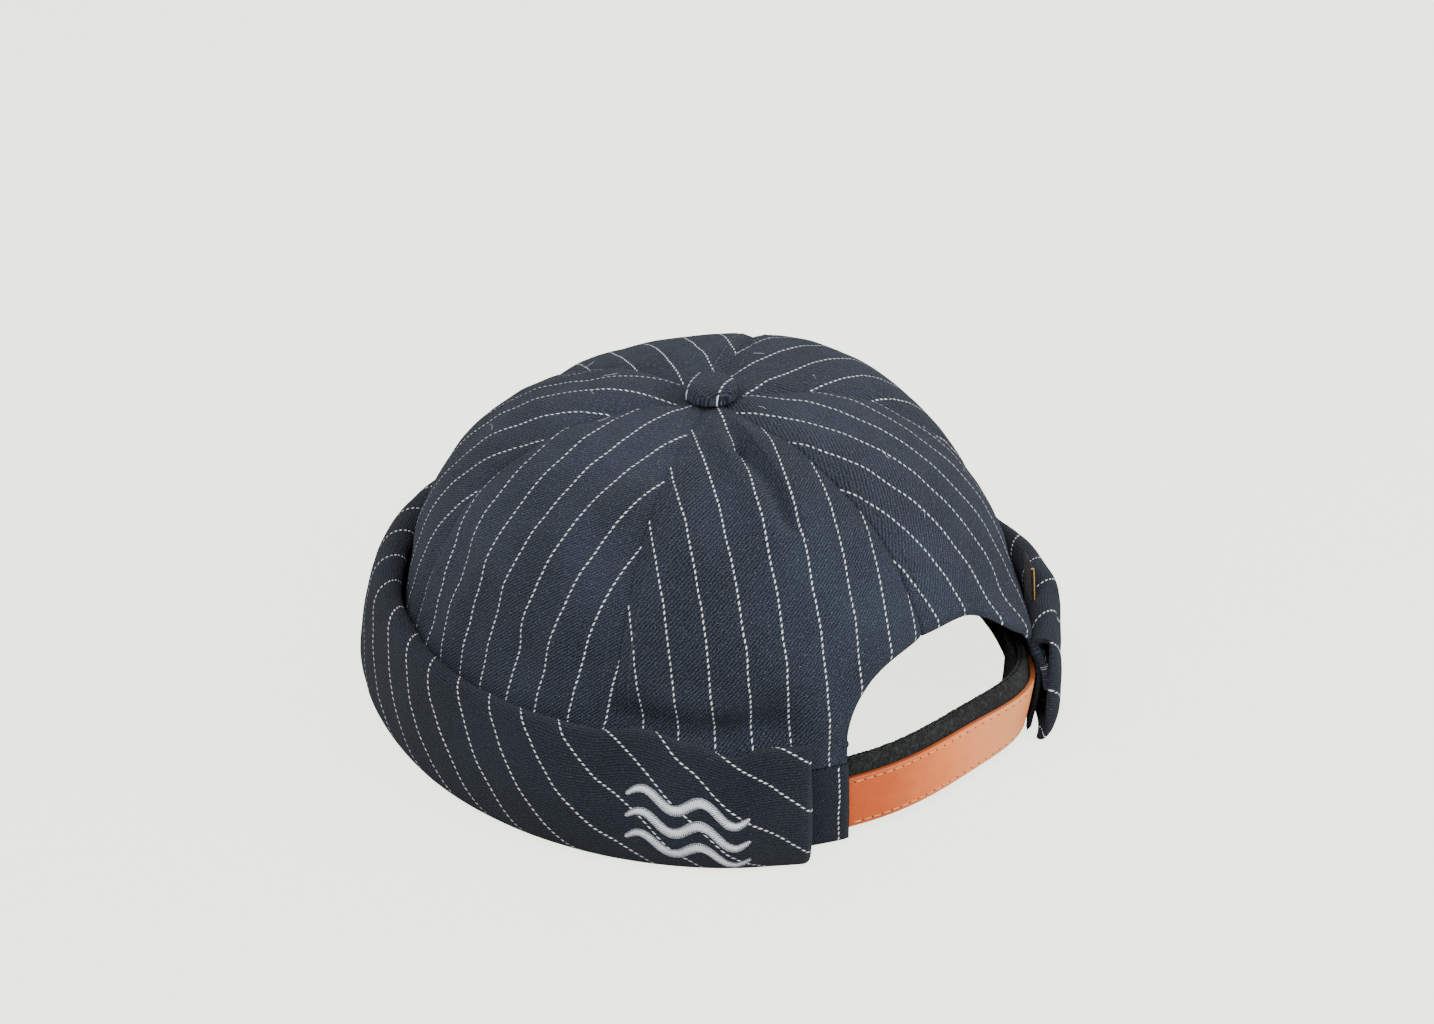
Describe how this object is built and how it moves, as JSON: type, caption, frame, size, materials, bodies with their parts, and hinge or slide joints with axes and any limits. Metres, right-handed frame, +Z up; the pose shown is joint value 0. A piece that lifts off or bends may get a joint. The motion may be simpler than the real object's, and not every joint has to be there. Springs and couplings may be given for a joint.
{
  "type": "brimless docker beanie",
  "caption": "Brimless pinstriped cap with a six-panel crown, covered button, turned-up rolled cuff, and a leather strap closing an arched opening at the back.",
  "frame": {"origin": "floor under the middle of the hat's box, where it stands on its cuff", "axes": "+Z up, +Y towards the open back with the strap, -Y towards the front"},
  "size_m": [0.2106, 0.212, 0.1055],
  "materials": {
    "striped_wool": "dark navy wool twill with dotted white pinstripes",
    "black_tape": "matt black brushed tape",
    "tan_leather": "smooth tan leather, satin"
  },
  "bodies": {
    "root": {"crown_panel_1": "striped_wool", "crown_panel_2": "striped_wool", "crown_panel_3": "striped_wool", "crown_panel_4": "striped_wool", "crown_panel_5": "striped_wool", "crown_panel_6": "striped_wool", "button": "striped_wool", "cuff": "striped_wool", "cuff_fold": "striped_wool", "headband": "striped_wool", "sweatband": "black_tape", "strap_leather": "tan_leather", "strap_loop_tape": "black_tape", "strap_hook_tape": "black_tape", "side_label": "black_tape"}
  },
  "joints": []
}
